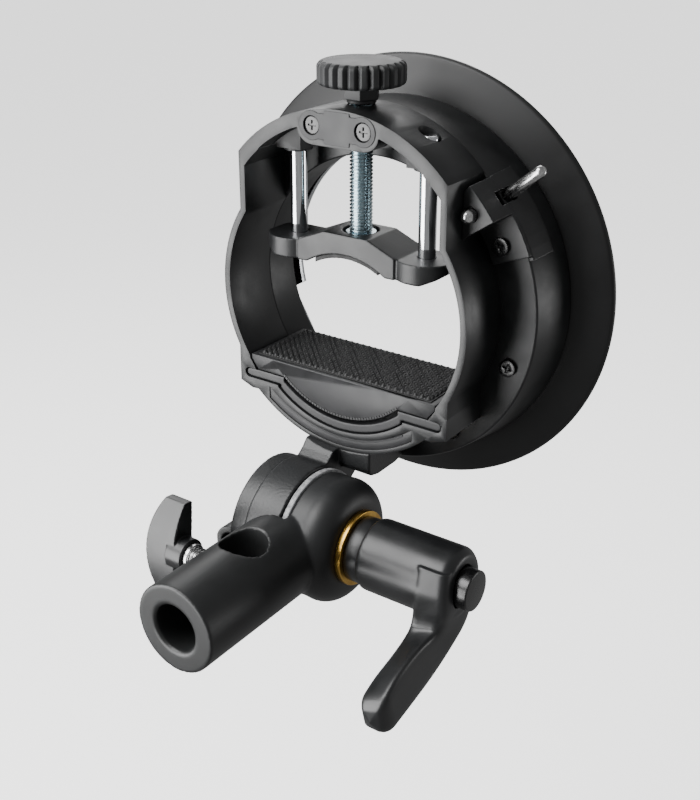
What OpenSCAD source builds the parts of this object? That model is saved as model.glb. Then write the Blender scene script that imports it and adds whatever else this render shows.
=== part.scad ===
// Umbrella swivel bracket: a flash clamp ring with a flared front flange and a
// sprung accessory lock, on a tilting arm that clamps to a light stand.
// Origin: crossing of the stand socket and the barrel. +Z up along the stand
// socket, +X along the tilt axis towards the lever, +Y towards the flange.

/* [Ring] */
// Height of the ring's centre above the barrel's axis
ring_z = 80; // [78:0.5:84]
// Rear face of the ring, in front of the stand axis
ring_y = 53; // [52:0.5:55]
// Outer radius of the flared flange
flange_r = 80; // [78:0.5:82]
// Outer radius of the flash tube
tube_r = 50.6; // [50.4:0.1:51]
// Wall of the flash tube
tube_wall = 2.4; // [2:0.1:2.6]
// Depth of the rear frame
frame_d = 22.8; // [22:0.2:24]
// Depth of the mount ring behind the flange
mount_d = 20; // [19:0.5:21]
// Outer radius of the mount ring at its back
mount_r = 64; // [63.5:0.5:64.5]

/* [Flash clamp] */
// Depth of the screw and rods behind the rear face
clamp_y = 14; // [13.5:0.1:14.5]
// Sideways place of each guide rod
rod_x = 26.6; // [26:0.2:27]
// Radius of a guide rod
rod_r = 3; // [2.8:0.1:3.1]
// Radius of the clamp screw (M8)
screw_r = 4; // [3.9:0.05:4.1]
// Radius of the fluted knob
knob_r = 14.8; // [14:0.2:15.2]
// Travel of the jaw, upwards from its lowest place
jaw_travel = 26; // [20:1:26]

/* [Tilt head] */
// Tilt axis in front of the stand axis
hub_y = 38; // [37.5:0.5:38.5]
// Radius of the arm's half of the tilt head
arm_r = 24; // [23.5:0.25:24.25]
// Radius of the socket's half of the tilt head
socket_r = 22.2; // [21.5:0.1:22.4]
// Radius of the barrel
barrel_r = 15.3; // [15:0.1:15.6]
// End face of the barrel, behind the stand axis
barrel_end = 34; // [32:0.5:36]
// Radius of the 5/8 inch sockets
socket_bore_r = 8.1; // [8:0.05:8.2]
// Radius of the umbrella shaft hole
umbrella_bore_r = 4.3; // [4.2:0.1:4.5]

/* [Lever] */
// Radius of the lever's hub
hub_r = 12.8; // [12.4:0.1:13]
// Outer end of the lever's hub
hub_end = 61.5; // [60:0.5:62]
// Lift of the lever off its splines
lever_lift = 5; // [4:0.5:5]

/* [Accessory lock] */
// Angle of the lock plunger round the ring, from +X
lock_angle = 40; // [39.5:0.25:40.5]
// Distance of the lock plunger from the ring's axis
lock_r = 59; // [58.75:0.05:59.25]
// Travel of the lock plunger
lock_travel = 4.5; // [4:0.25:4.5]

/* [Hidden] */
$fn = 96;
gap = 0.3;                         // free space between pieces that move past each other
fit = 0.06;                        // radial clearance of a running fit
inner_r = tube_r - tube_wall;      // bore of the flash tube
side_x = 42;                       // flat sides of the top arch
foot_x = 44.5;                     // flat sides of the lower part
arch_r = 56.5;                     // outer radius of the top arch
arch_z = 11;                       // centre of the top arch above the ring's centre
arch_in_r = 51.5;                  // inner radius of the top arch
base_r = 53.8;                     // outer radius of the frame's bottom
pad_z = -26.6;                     // top of the pad carrier
saddle_r = 36.5;                   // radius of the carrier's round bottom
saddle_z = -5;                     // centre of that round
strip_t = 3;                       // thickness of the spring strip
strip_z = -35.6;                   // underside of the strip's level wings
strip_r = saddle_r + 1.7;          // inner radius of the spring strip
carrier_d = 31;                    // depth of the pad carrier
insert_d = 12;                     // depth of the bottom insert
arm_screw_y = 16.6;                // arm screws in front of the ring's rear face
flange_back = frame_d + mount_d;   // seat of the flange
front_r = mount_r + 2.5;           // mount ring's radius at the flange
bayonet_in_r = 49.6;               // opening of the bayonet ring
bayonet_out_r = 62;                // outside of the bayonet ring
bayonet_t = 2.5;                   // thickness of the bayonet ring
knob_z = 73.7;                     // underside of the knob above the ring's centre
knob_h = 8.5;                      // height of the knob
jaw_z = 12.5;                      // lowest face of the jaw above the ring's centre
jaw_half = 37.5;                   // half the length of the jaw
block_z = 55;                      // underside of the nut block
keeper_x = 10.2;                   // sideways place of the keeper screws
keeper_z = 61.4;                   // height of the keeper screws
seam_x = -13.1;                    // joint between the arm and the side plate
plate_x = -19.3;                   // outer face of the side plate
washer_t = 2.2;                    // friction washer
dome_x = 18.6;                     // outer face of the socket half
brass_t = 2.4;                     // brass washer
neck_x = dome_x + brass_t;         // start of the lever core
hub_x = 26.4;                      // start of the lever's hub
core_end = 44;                     // end of the lever core
shoulder_x = 47;                   // shoulder that the lever spring sits on
cap_x = 58.5;                      // underside of the lever screw's head
cap_r = 7;                         // radius of that head
wing_in = -8.4;                    // inner end of the wing screw's tip
wing_turn = 7;                     // lean of the wing at rest
screw_angles = [-17, -54, -126, -163];
cover_screw_angle = 27;
post_angles = [15, 75, 135, 195, 255, 315];
post_r = 58;                       // bayonet screws from the ring's axis
ring_screw_r = 57;                 // frame screws from the ring's axis
lock_back = 9.5;                   // rear face of the lock's box
lock_x = lock_r * cos(lock_angle); // place of the lock plunger seen from behind
lock_z = lock_r * sin(lock_angle);
pin_y = frame_d + 2.2;             // depth of the release pin
pin_r = 2;                         // radius of the release pin
head_fit_r = 2.3;                  // radius of the lock plunger
slot_back = pin_y - pin_r - lock_travel - gap;
umbrella_x = -25.6;                // axis of the umbrella hole
umbrella_z = -7;
umbrella_r = 6.8;                  // boss round the umbrella hole

// ---- helpers -------------------------------------------------------------

// Puts its children in the ring's own frame: centre of the rear face
module at_ring() { translate([0, ring_y, ring_z]) children(); }

// Puts its children on the tilt axis
module at_hub() { translate([0, hub_y, 0]) children(); }

// Extrudes an outline drawn in X and Z along +Y
module along_y(y0, len) {
    translate([0, y0 + len, 0]) rotate([90, 0, 0]) linear_extrude(len) children();
}

// Turns a profile of radius and depth about the Y axis
module turn_y() { rotate([-90, 0, 0]) rotate_extrude() children(); }

// Extrudes an outline drawn in Y and Z along +X
module along_x(x0, len) {
    translate([x0, 0, 0]) rotate([90, 0, 90]) linear_extrude(len) children();
}

// Cylinder along +X
module rod_along_x(x0, len, r) { translate([x0, 0, 0]) rotate([0, 90, 0]) cylinder(h = len, r = r); }

// Cylinder along +Y
module rod_along_y(y0, len, r) { translate([0, y0, 0]) rotate([-90, 0, 0]) cylinder(h = len, r = r); }

// Repeats its children at each angle round the ring, counted from +X
module round_ring(angles) { for (a = angles) rotate([0, -a, 0]) children(); }

// Cross recess for a screw head, cut downwards from z = 0
module cross_recess(r, depth) {
    for (a = [0, 90])
        rotate([0, 0, a]) translate([-r, -r / 5, -depth]) cube([2 * r, 2 * r / 5, depth + 1]);
}

// Screw with a low head: head top at z = 0, shank downwards
module head_screw(head_r, head_h, shank_r, len) {
    difference() {
        union() {
            translate([0, 0, -head_h]) cylinder(h = head_h, r = head_r);
            translate([0, 0, -len]) cylinder(h = len - head_h + 0.01, r = shank_r);
        }
        cross_recess(head_r * 0.6, head_h * 0.6);
    }
}

// ---- flash ring ----------------------------------------------------------

// Outline of the frame seen from behind
module frame_outline() {
    circle(r = tube_r);
    intersection() {
        translate([0, arch_z]) circle(r = arch_r);
        translate([-side_x, 0]) square([2 * side_x, 80]);
    }
    intersection() {
        circle(r = base_r);
        translate([-foot_x, -80]) square([2 * foot_x, 80 - 24]);
    }
    for (s = [-1, 1]) scale([s, 1])
        polygon([[foot_x - 8, -26], [foot_x - 0.02, -26], [foot_x - 0.02, strip_z - 2.4],
            [foot_x - 5.5, strip_z - 4.4], [foot_x - 12, strip_z - 4]]);
}

// Free space inside the frame seen from behind
module frame_opening() {
    intersection() {
        circle(r = inner_r);
        translate([-60, pad_z - 5]) square([120, 120]);
    }
    difference() {
        intersection() {
            translate([0, arch_z]) circle(r = arch_in_r);
            translate([-side_x + tube_wall, 0]) square([2 * (side_x - tube_wall), 80]);
        }
        translate([-16, block_z]) square([32, 20]);
        for (s = [-1, 1]) translate([s * rod_x, 50]) translate([-5.2, 0]) square([10.4, 20]);
    }
}

// Round-bottomed pocket for the pad carrier and the spring strip
module saddle_pocket() {
    intersection() {
        translate([0, saddle_z]) circle(r = strip_r + strip_t + 0.4);
        translate([-27, -60]) square([54, 60 + pad_z + 1]);
    }
    for (s = [-1, 1]) scale([s, 1]) {
        translate([20, strip_z - 0.4]) square([20.4, strip_t + 0.8]);
        translate([40.4, strip_z + strip_t / 2]) circle(r = strip_t / 2 + 0.4);
        polygon([[20, pad_z + 1.2], [39.8, pad_z + 1.2], [39.8, pad_z - 1.6], [37, -32.4], [20, -32.4]]);
    }
}

// Arc piece that closes the bottom of the frame
module insert_outline(grow = 0) {
    intersection() {
        difference() {
            circle(r = 52.2 + grow);
            circle(r = 48.6 - grow);
        }
        translate([-31 - grow, -60]) square([62 + 2 * grow, 30]);
    }
}

module rear_frame() color("#2b2c2e") at_ring() difference() {
    along_y(0, frame_d) frame_outline();
    along_y(-1, frame_d + 2) frame_opening();
    along_y(-1, frame_d + 2) saddle_pocket();
    // smooth arch behind the rod bosses, round the keeper block
    along_y(-1, clamp_y - 4.6) difference() {
        intersection() {
            translate([0, arch_z]) circle(r = arch_in_r + 0.3);
            translate([-33, 45]) square([66, 30]);
        }
        translate([-keeper_x, 40]) square([2 * keeper_x, 40]);
        for (s = [-1, 1]) translate([s * keeper_x, keeper_z]) circle(r = 6.3);
    }
    along_y(-1, 1 + insert_d + 0.4) insert_outline();
    // clamp screw, nut pocket and keeper recess in the top block
    translate([0, clamp_y, 40]) cylinder(h = 40, r = screw_r + 0.6);
    translate([-7, -1, block_z + 3]) cube([14, 1 + clamp_y + 7, 7]);
    along_y(-1, 3) keeper_outline();
    for (s = [-1, 1]) translate([s * keeper_x, 0, keeper_z]) rod_along_y(0, 12, 1.5);
    // screws from the arm
    for (s = [-1, 1]) translate([s * 7.5, arm_screw_y, -60]) {
        cylinder(h = 18, r = 1.8);
        translate([0, 0, 10.6]) cylinder(h = 8, r = 2.9);
    }
    // rod bushes and the holes above them
    for (s = [-1, 1]) translate([s * rod_x, clamp_y, 0]) {
        translate([0, 0, 49]) cylinder(h = 7.5, r = 4.5);
        translate([0, 0, 50]) cylinder(h = 25, r = rod_r + 0.8);
    }
}

module frame_insert() color("#2b2c2e") at_ring() along_y(0.3, insert_d) insert_outline();

// Outline of the wavy strip: an arc with a level wing at each end
module strip_outline() {
    intersection() {
        difference() {
            translate([0, saddle_z]) circle(r = strip_r + strip_t);
            translate([0, saddle_z]) circle(r = strip_r);
        }
        translate([-26, -60]) square([52, 60 + strip_z + strip_t]);
    }
    for (s = [-1, 1]) scale([s, 1]) {
        translate([24.6, strip_z]) square([15.8, strip_t]);
        translate([40.4, strip_z + strip_t / 2]) circle(r = strip_t / 2);
    }
}

module spring_strip() color("#303133") at_ring() along_y(0.6, 18) strip_outline();

// Outline of the pad carrier: a flat top over a round bottom
module carrier_outline() {
    intersection() {
        translate([0, saddle_z]) circle(r = saddle_r);
        translate([-39.5, -60]) square([79, 60 + pad_z]);
    }
    polygon([[-39.3, pad_z], [39.3, pad_z], [39.3, pad_z - 1.8], [36.4, -32], [-36.4, -32],
        [-39.3, pad_z - 1.8]]);
}

module pad_carrier() color("#2b2c2e") at_ring() difference() {
    along_y(0.5, carrier_d) carrier_outline();
    // corners cut back to the tube's bore
    along_y(frame_d - gap, 20) difference() {
        square([120, 120], center = true);
        circle(r = inner_r - gap);
    }
    // recess for the rubber pad
    translate([-37, 2, pad_z - 1.2]) cube([74, carrier_d - 3, 3]);
    for (s = [-1, 1]) translate([s * 24, carrier_d / 2, -60]) {
        cylinder(h = 60, r = 1.5);
        cylinder(h = 29.1, r = 2.7);
    }
}

module carrier_screws() color("#4a4a4c") at_ring()
    for (s = [-1, 1]) translate([s * 24, carrier_d / 2, -32.1])
        rotate([180, 0, 0]) head_screw(2.4, 1.2, 1.4, 4.2);

module grip_pad() color("#1b1b1c") at_ring()
    translate([-37, 2, pad_z - 1.2]) cube([74, carrier_d - 3, 2.6]);

module keeper_outline() {
    translate([-5, 55.8]) square([10, 11]);
    translate([-keeper_x, keeper_z - 4.2]) square([2 * keeper_x, 8.4]);
    for (s = [-1, 1]) translate([s * keeper_x, keeper_z]) circle(r = 4.9);
}

module keeper_plate() color("#3a3b3d") at_ring() difference() {
    along_y(-0.2, 2.2) keeper_outline();
    for (s = [-1, 1]) translate([s * keeper_x, 0, keeper_z]) {
        rod_along_y(-1, 5, 1.7);
        rod_along_y(-1, 2.3, 3.2);
    }
}

module keeper_screws() color("#202022") at_ring()
    for (s = [-1, 1]) translate([s * keeper_x, 0.3, keeper_z]) rotate([90, 0, 0])
        head_screw(2.8, 1, 1.5, 10);

module clamp_nut() color("#b79a4b") at_ring() translate([0, clamp_y, block_z + 3.1]) difference() {
    translate([-6.8, -6.8, 0]) cube([13.6, 13.6, 6.8]);
    translate([0, 0, -1]) cylinder(h = 9, r = screw_r + fit);
}

module rod_bushes() color("#1d1d1f") at_ring()
    for (s = [-1, 1]) translate([s * rod_x, clamp_y, 49]) difference() {
        union() {
            cylinder(h = 7.4, r = 4.5);
            cylinder(h = 1, r = 5);
        }
        translate([0, 0, -1]) cylinder(h = 10, r = rod_r + fit);
    }

// ---- mount ring, flange and bayonet ----------------------------------------

module mount_ring() color("#2b2c2e") at_ring() difference() {
    union() {
        turn_y() polygon([[inner_r, frame_d], [mount_r, frame_d], [front_r, flange_back],
            [front_r - 2.4, flange_back], [mount_r - 2.4, frame_d + 2.6], [tube_r, frame_d + 2.6],
            [tube_r, flange_back - 5], [inner_r, flange_back - 5]]);
        // posts for the bayonet screws
        round_ring(post_angles) translate([post_r, 0, 0]) rod_along_y(frame_d + 1, mount_d - 1, 2.9);
    }
    round_ring(post_angles) translate([post_r, 0, 0]) rod_along_y(frame_d + 8, 30, 1.3);
    round_ring(concat(screw_angles, [cover_screw_angle]))
        translate([ring_screw_r, 0, 0]) rod_along_y(frame_d - 1, 8, 1.6);
    // lock plunger and the slot for its pin
    rotate([0, -lock_angle, 0]) {
        translate([lock_r, 0, 0]) rod_along_y(0, 60, head_fit_r + fit);
        translate([lock_r, frame_d - 1, -pin_r - 0.4])
            cube([20, pin_y + pin_r + gap - frame_d + 1, 2 * pin_r + 0.8]);
    }
}

module ring_screws() color("#202022") at_ring()
    round_ring(screw_angles) translate([ring_screw_r, frame_d - 1.4, 0]) rotate([90, 0, 0])
        head_screw(3, 1.4, 1.6, 5);

module flange() color("#242527") at_ring() turn_y() {
    polygon([[bayonet_out_r + 0.2, flange_back], [front_r + 0.2, flange_back],
        [flange_r - 2.4, flange_back + 4.2], [flange_r - 1.2, flange_back + 7.4],
        [flange_r - 2.6, flange_back + 7.4], [front_r - 0.6, flange_back + 2.5],
        [bayonet_out_r + 0.2, flange_back + 2.5]]);
    translate([flange_r - 1.6, flange_back + 5.8]) circle(r = 1.6);
}

module bayonet_ring() color("#c9cbce") at_ring() difference() {
    along_y(flange_back, bayonet_t) difference() {
        circle(r = bayonet_out_r);
        circle(r = bayonet_in_r);
        // three openings for the accessory's lugs
        for (a = [90, 210, 330]) rotate(a) translate([0, -13]) square([54.6, 26]);
    }
    round_ring(post_angles) translate([post_r, 0, 0]) {
        rod_along_y(flange_back - 1, 6, 1.5);
        rod_along_y(flange_back + bayonet_t - 1.3, 3, 2.6);
    }
    round_ring([lock_angle]) translate([lock_r, 0, 0]) rod_along_y(flange_back - 1, 6, head_fit_r + fit);
}

module bayonet_screws() color("#55565a") at_ring()
    round_ring(post_angles) translate([post_r, flange_back + bayonet_t - 0.1, 0])
        rotate([-90, 0, 0]) head_screw(2.4, 1.1, 1.25, 10);

// ---- accessory lock ----------------------------------------------------------

// Part of a ring between two angles, from +X towards +Z, with a profile of radius and depth
module ring_sector(from, to) {
    rotate([-90, 0, 0]) rotate([0, 0, -to]) rotate_extrude(angle = to - from) children();
}

module lock_cover() color("#2f3032") at_ring() difference() {
    union() {
        // skin over the mount ring
        ring_sector(20, 47) polygon([[mount_r + 0.1, frame_d - 0.8], [mount_r + 1.9, frame_d - 0.8],
            [mount_r + 3.1, frame_d + 11], [mount_r + 1.5, frame_d + 11]]);
        // plate with the screw, then the box with the plunger
        ring_sector(21.5, 36) polygon([[51.4, frame_d - 2.3], [mount_r + 1.6, frame_d - 2.3],
            [mount_r + 1.6, frame_d - 0.05], [51.4, frame_d - 0.05]]);
        ring_sector(34.6, 46.8) polygon([[50, lock_back], [mount_r + 0.8, lock_back],
            [mount_r + 1.7, frame_d - 0.05], [50, frame_d - 0.05]]);
    }
    cube([2 * side_x + 0.4, 80, 100], center = true);
    // spring pocket, open towards the frame's flat side
    translate([side_x, lock_back + 2.5, lock_z - 3.5]) cube([lock_x - side_x, 30, 7]);
    turn_y() square([tube_r + 0.2, 40]);
    round_ring([cover_screw_angle]) translate([ring_screw_r, 0, 0]) rod_along_y(0, 40, 1.7);
    rotate([0, -lock_angle, 0]) {
        translate([lock_r, 0, 0]) rod_along_y(0, 40, head_fit_r + fit);
        translate([lock_r, 0, 0]) rod_along_y(lock_back + 2.5, 30, 3.2);
        translate([lock_r, slot_back, -pin_r - 0.4])
            cube([20, pin_y + pin_r + gap - slot_back, 2 * pin_r + 0.8]);
    }
}

module lock_screw() color("#1d1d1f") at_ring()
    round_ring([cover_screw_angle]) translate([ring_screw_r, frame_d - 3.8, 0]) rotate([90, 0, 0])
        head_screw(3, 1.4, 1.6, 7);

module lock_plunger() color("#c4c6c8") at_ring() rotate([0, -lock_angle, 0]) translate([lock_r, 0, 0]) {
    // domed head, thin stem inside the spring, collar and locking nose
    translate([0, 7.4, 0]) intersection() {
        sphere(r = head_fit_r);
        translate([-3, -3, -3]) cube([6, 3, 6]);
    }
    rod_along_y(7.4, lock_back + 2.5 - 7.4, head_fit_r);
    rod_along_y(lock_back + 2.4, frame_d - lock_back - 3, 1.6);
    rod_along_y(frame_d - 1.4, 1.2, 2.9);
    rod_along_y(frame_d - 0.3, mount_d + bayonet_t + 4.5, head_fit_r);
}

module release_pin() color("#c4c6c8") at_ring() rotate([0, -lock_angle, 0])
    translate([lock_r + head_fit_r - 0.05, pin_y, 0]) {
        rod_along_x(0, 18, pin_r);
        translate([18, 0, 0]) intersection() {
            sphere(r = pin_r);
            translate([0, -3, -3]) cube([3, 6, 6]);
        }
    }

// Pressed length, so that it clears the collar when the pin is pulled
module lock_spring() color("#8d8f92") at_ring() rotate([0, -lock_angle, 0]) translate([lock_r, 0, 0])
    difference() {
        rod_along_y(lock_back + 2.6, frame_d - 1.7 - lock_back - 2.6 - lock_travel, 2.8);
        rod_along_y(lock_back, 15, 1.9);
    }

// ---- flash clamp jaw and screw ------------------------------------------------

// Outline of the jaw seen from behind: raised middle, arched underside
module jaw_outline() {
    difference() {
        polygon([[-jaw_half + 3, jaw_z + 2], [-30, jaw_z], [30, jaw_z], [jaw_half - 3, jaw_z + 2],
            [jaw_half, jaw_z + 4], [jaw_half - 1, jaw_z + 7], [21, jaw_z + 7], [9, jaw_z + 12],
            [-9, jaw_z + 12], [-21, jaw_z + 7], [-jaw_half + 1, jaw_z + 7], [-jaw_half, jaw_z + 4]]);
        translate([0, jaw_z - 24]) circle(r = 29);
    }
}

// Plan of the jaw: wide round ends and a narrower waist
module jaw_plan() {
    square([40, 20], center = true);
    for (s = [-1, 1]) translate([s * rod_x, 0]) circle(r = 11);
}

module clamp_jaw() color("#2b2c2e") at_ring() difference() {
    intersection() {
        along_y(0, frame_d - gap) jaw_outline();
        translate([0, clamp_y, 0]) linear_extrude(60) jaw_plan();
    }
    // recess and hole for the clamp screw, pocket for its clip underneath
    translate([0, clamp_y, jaw_z + 10]) cylinder(h = 5, r = 6.2);
    translate([0, clamp_y, 0]) cylinder(h = 40, r = screw_r + fit);
    translate([0, clamp_y, jaw_z + 2]) cylinder(h = 5.6, r = 6.4);
    for (s = [-1, 1]) translate([s * rod_x, clamp_y, 0]) {
        translate([0, 0, jaw_z + 2.5]) cylinder(h = 20, r = rod_r);
        cylinder(h = 40, r = 1.6);
        cylinder(h = jaw_z + 1.4, r = 3);
    }
}

module jaw_pad() color("#19191a") at_ring() difference() {
    intersection() {
        along_y(clamp_y - 9, 18) difference() {
            translate([0, jaw_z - 24]) circle(r = 28.95);
            translate([0, jaw_z - 24]) circle(r = 27.4);
        }
        translate([-13, 0, jaw_z - 0.5]) cube([26, 40, 10]);
    }
    translate([0, clamp_y, 0]) cylinder(h = 40, r = 6.4);
}

module guide_rods() color("#dfe1e4") at_ring()
    for (s = [-1, 1]) translate([s * rod_x, clamp_y, jaw_z + 2.5]) difference() {
        cylinder(h = 60.2 - jaw_z - 2.5, r = rod_r);
        translate([0, 0, -1]) cylinder(h = 9, r = 1.5);
    }

module rod_screws() color("#55565a") at_ring()
    for (s = [-1, 1]) translate([s * rod_x, clamp_y, jaw_z - 0.1]) rotate([180, 0, 0])
        head_screw(2.9, 1.4, 1.45, 9);

module screw_clip() color("#8d8f92") at_ring() translate([0, clamp_y, jaw_z + 6.4]) difference() {
    cylinder(h = 1, r = 6);
    translate([0, 0, -1]) cylinder(h = 3, r = 3.2);
    translate([-1.2, 0, -1]) cube([2.4, 8, 3]);
}

module clamp_screw() color("#bcc4c9") at_ring() translate([0, clamp_y, 0]) difference() {
    union() {
        translate([0, 0, jaw_z + 5.4]) cylinder(h = knob_z + 2 - jaw_z - 5.4, r = screw_r);
        translate([0, 0, jaw_z + 10.1]) cylinder(h = 1.4, r = 5.4);
    }
    // groove for the clip
    translate([0, 0, jaw_z + 6.3]) difference() {
        cylinder(h = 1.2, r = 6);
        translate([0, 0, -1]) cylinder(h = 4, r = 3.2);
    }
}

module knob_collar() color("#1d1d1f") at_ring() translate([0, clamp_y, 0]) difference() {
    union() {
        translate([0, 0, 69.2]) cylinder(h = knob_z - 69.2, r = 6.4, $fn = 6);
        translate([0, 0, 67.9]) cylinder(h = 1.4, r = 4.9);
    }
    translate([0, 0, 60]) cylinder(h = 20, r = screw_r);
}

module clamp_knob() color("#2b2c2e") at_ring() translate([0, clamp_y, knob_z]) difference() {
    intersection() {
        linear_extrude(knob_h) difference() {
            circle(r = knob_r);
            for (i = [0 : 23]) rotate(i * 15) translate([knob_r + 0.5, 0]) circle(r = 1.25, $fn = 24);
        }
        rotate_extrude() polygon([[0, 0], [knob_r - 0.8, 0], [knob_r, 0.8], [knob_r, knob_h - 1.6],
            [knob_r - 1, knob_h - 0.5], [knob_r - 3, knob_h], [0, knob_h]]);
    }
    translate([0, 0, -1]) cylinder(h = 3, r = screw_r);
}

// ---- tilt head -----------------------------------------------------------------

// Side outline of the arm, drawn in Y and Z about the tilt axis
module arm_side() {
    circle(r = arm_r);
    polygon([[-6, 20], [7, 22], [11, 25], [15.4, 30], [37.6, 30], [37.6, 18], [30, 15.5], [20, 8], [10, 0]]);
}

module tilt_arm() color("#2c2d2f") difference() {
    union() {
        at_hub() along_x(seam_x, -seam_x) arm_side();
        // cross bar under the ring
        at_hub() along_x(-0.1, 13.4) polygon([[15.4, 30], [37.6, 30], [37.6, 18.4], [33, 17.2], [21, 17.2],
            [17, 18.2], [15.4, 20.4]]);
    }
    at_ring() rod_along_y(-20, 60, base_r);
    at_hub() rod_along_x(-30, 60, screw_r + fit + 0.1);
    for (s = [-1, 1]) translate([s * 7.5, ring_y + arm_screw_y, 18.2]) cylinder(h = 20, r = 1.6);
}

module arm_screws() color("#55565a")
    for (s = [-1, 1]) translate([s * 7.5, ring_y + arm_screw_y, 32.2]) head_screw(2.6, 1.5, 1.55, 13.8);

module side_plate() color("#2c2d2f") difference() {
    union() {
        at_hub() rod_along_x(plate_x, seam_x - plate_x, arm_r - 0.7);
        translate([umbrella_x, 22, umbrella_z]) rod_along_y(0, 32, umbrella_r);
        translate([umbrella_x, 24, umbrella_z - umbrella_r + 1]) cube([9, 28, 2 * umbrella_r - 2]);
    }
    translate([umbrella_x, 0, umbrella_z]) rod_along_y(0, 80, umbrella_bore_r);
    at_hub() rod_along_x(-30, 40, screw_r + fit + 0.1);
    at_hub() rod_along_x(-25, 25 - 16.8, 8.4);
}

module tilt_bolt() color("#55565a") at_hub() difference() {
    union() {
        translate([-21, 0, 0]) rotate([0, 90, 0]) cylinder(h = 4.2, r = 7.4, $fn = 6);
        rod_along_x(-17, 17 + 37, screw_r);
    }
    translate([-22, 0, 0]) rotate([0, 90, 0]) cylinder(h = 3, r = 3.4, $fn = 6);
}

module socket_body() color("#2c2d2f") difference() {
    union() {
        // barrel, cut clear of the arm
        difference() {
            rod_along_y(-barrel_end, barrel_end + hub_y - 6, barrel_r);
            at_hub() rod_along_x(-40, 40 + washer_t + gap, arm_r + 0.8);
        }
        // domed half of the tilt head
        at_hub() rotate([0, 90, 0]) rotate_extrude() difference() {
            union() {
                translate([0, washer_t + gap]) square([socket_r, 8]);
                translate([0, washer_t + gap]) square([socket_r - 8, dome_x - washer_t - gap]);
                translate([socket_r - 8, dome_x - 8.2]) circle(r = 8.2);
            }
            translate([0, -20]) square([60, 20 + washer_t + gap]);
            translate([-20, -40]) square([20, 80]);
        }
    }
    // sockets for a 5/8 inch stud, upright and from the end, with eased mouths
    translate([0, 0, -40]) cylinder(h = 80, r = socket_bore_r);
    rod_along_y(-60, 60 - socket_bore_r - 1.1, socket_bore_r);
    translate([0, -barrel_end - 0.01, 0]) rotate([-90, 0, 0])
        cylinder(h = 0.8, r1 = socket_bore_r + 0.8, r2 = socket_bore_r);
    // wing screw and tilt bolt
    rod_along_x(-30, 30, screw_r + fit);
    at_hub() rod_along_x(-10, 60, screw_r + fit + 0.1);
}

module friction_washer() color("#b9bbbd") at_hub() difference() {
    rod_along_x(0.3, washer_t, arm_r - 1);
    rod_along_x(-1, 9, screw_r + 0.4);
}

module brass_washer() color("#c2973f") at_hub() difference() {
    rotate([0, 90, 0]) rotate_extrude() polygon([[0, dome_x], [12.9, dome_x], [13.4, dome_x + 0.5],
        [13.4, neck_x - 0.5], [12.9, neck_x], [0, neck_x]]);
    rod_along_x(0, 40, screw_r + 0.4);
}

// ---- clamping lever ---------------------------------------------------------------

module lever_core() color("#26272a") at_hub() difference() {
    union() {
        rod_along_x(neck_x + 0.1, hub_x - neck_x - 0.2, 11.6);
        rod_along_x(hub_x - 0.2, core_end - hub_x + 0.2, 7);
        // splines that the lever drops onto
        for (i = [0 : 19]) rotate([i * 18, 0, 0]) translate([hub_x + 8, -0.6, 6.5]) cube([5, 1.2, 1.7]);
    }
    rod_along_x(0, 38, screw_r + fit);
    rod_along_x(37, 20, 2.9);
}

// Side outline of the lever's arm, drawn in Y and Z about the tilt axis
module lever_side() {
    polygon([[-9.5, 8.6], [-6.2, -4.5], [-9, -12], [-16, -15.5], [-27, -16.8], [-36, -19.6], [-40.6, -23.5],
        [-42, -29], [-41.5, -33.6], [-38, -36], [-30, -35.6], [-20, -33.8], [-10, -30.2], [-1, -25.6],
        [5, -19.4], [8.6, -10.5], [11.5, 5.5], [0, 10]]);
}

module lever_handle() color("#26272a") at_hub() difference() {
    union() {
        rotate([0, 90, 0]) rotate_extrude() polygon([[0, hub_x], [12, hub_x], [hub_r, hub_x + 0.8],
            [hub_r, hub_end - 1.4], [11.4, hub_end], [0, hub_end]]);
        along_x(45, hub_end - 45.4) lever_side();
    }
    rod_along_x(20, shoulder_x - 20 - 2, 8.6);
    rod_along_x(20, 60, 3.4);
    rod_along_x(shoulder_x, 20, cap_r + 0.3);
}

module lever_screw() color("#1d1d1f") at_hub() difference() {
    union() {
        rotate([0, 90, 0]) rotate_extrude() polygon([[0, cap_x], [cap_r, cap_x], [cap_r, cap_x + 7],
            [cap_r - 0.8, cap_x + 7.8], [0, cap_x + 7.8]]);
        rod_along_x(40, cap_x - 40 + 0.1, 2.9);
    }
    translate([cap_x + 5, 0, 0]) rotate([0, 90, 0]) cylinder(h = 4, r = 2.6, $fn = 6);
}

// Pressed length, so that it clears the lever when that is lifted
module lever_spring() color("#8d8f92") at_hub() difference() {
    rod_along_x(shoulder_x + lever_lift + 0.2, cap_x - shoulder_x - lever_lift - 0.25, 6.4);
    rod_along_x(shoulder_x, 30, 4.4);
}

// ---- wing screw ----------------------------------------------------------------------

module wing_tip() color("#c2973f") rod_along_x(wing_in - 2, 2, 3.2);

module wing_thread() color("#c9cbce") {
    rod_along_x(-30, 30 + wing_in - 2.05, screw_r);
    rod_along_x(-24.4, 2.4, 4.7);
}

// Thumb bar: crescent seen from the side, slim lens seen along the screw
module wing_grip() color("#26272a") rotate([-wing_turn, 0, 0]) difference() {
    union() {
        rod_along_x(-31, 7, 6);
        intersection() {
            along_x(-44, 20) intersection() {
                translate([61.3, 0]) circle(r = 66);
                translate([-61.3, 0]) circle(r = 66);
                circle(r = 19.4);
            }
            along_y(-8, 16) difference() {
                translate([-7, 0]) circle(r = 34);
                translate([63.3, 0]) circle(r = 91.3);
            }
        }
    }
    translate([-30.05, 0, 0]) rod_along_x(0, 20, screw_r);
    translate([-24.45, 0, 0]) rod_along_x(0, 20, 4.7);
}

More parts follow.
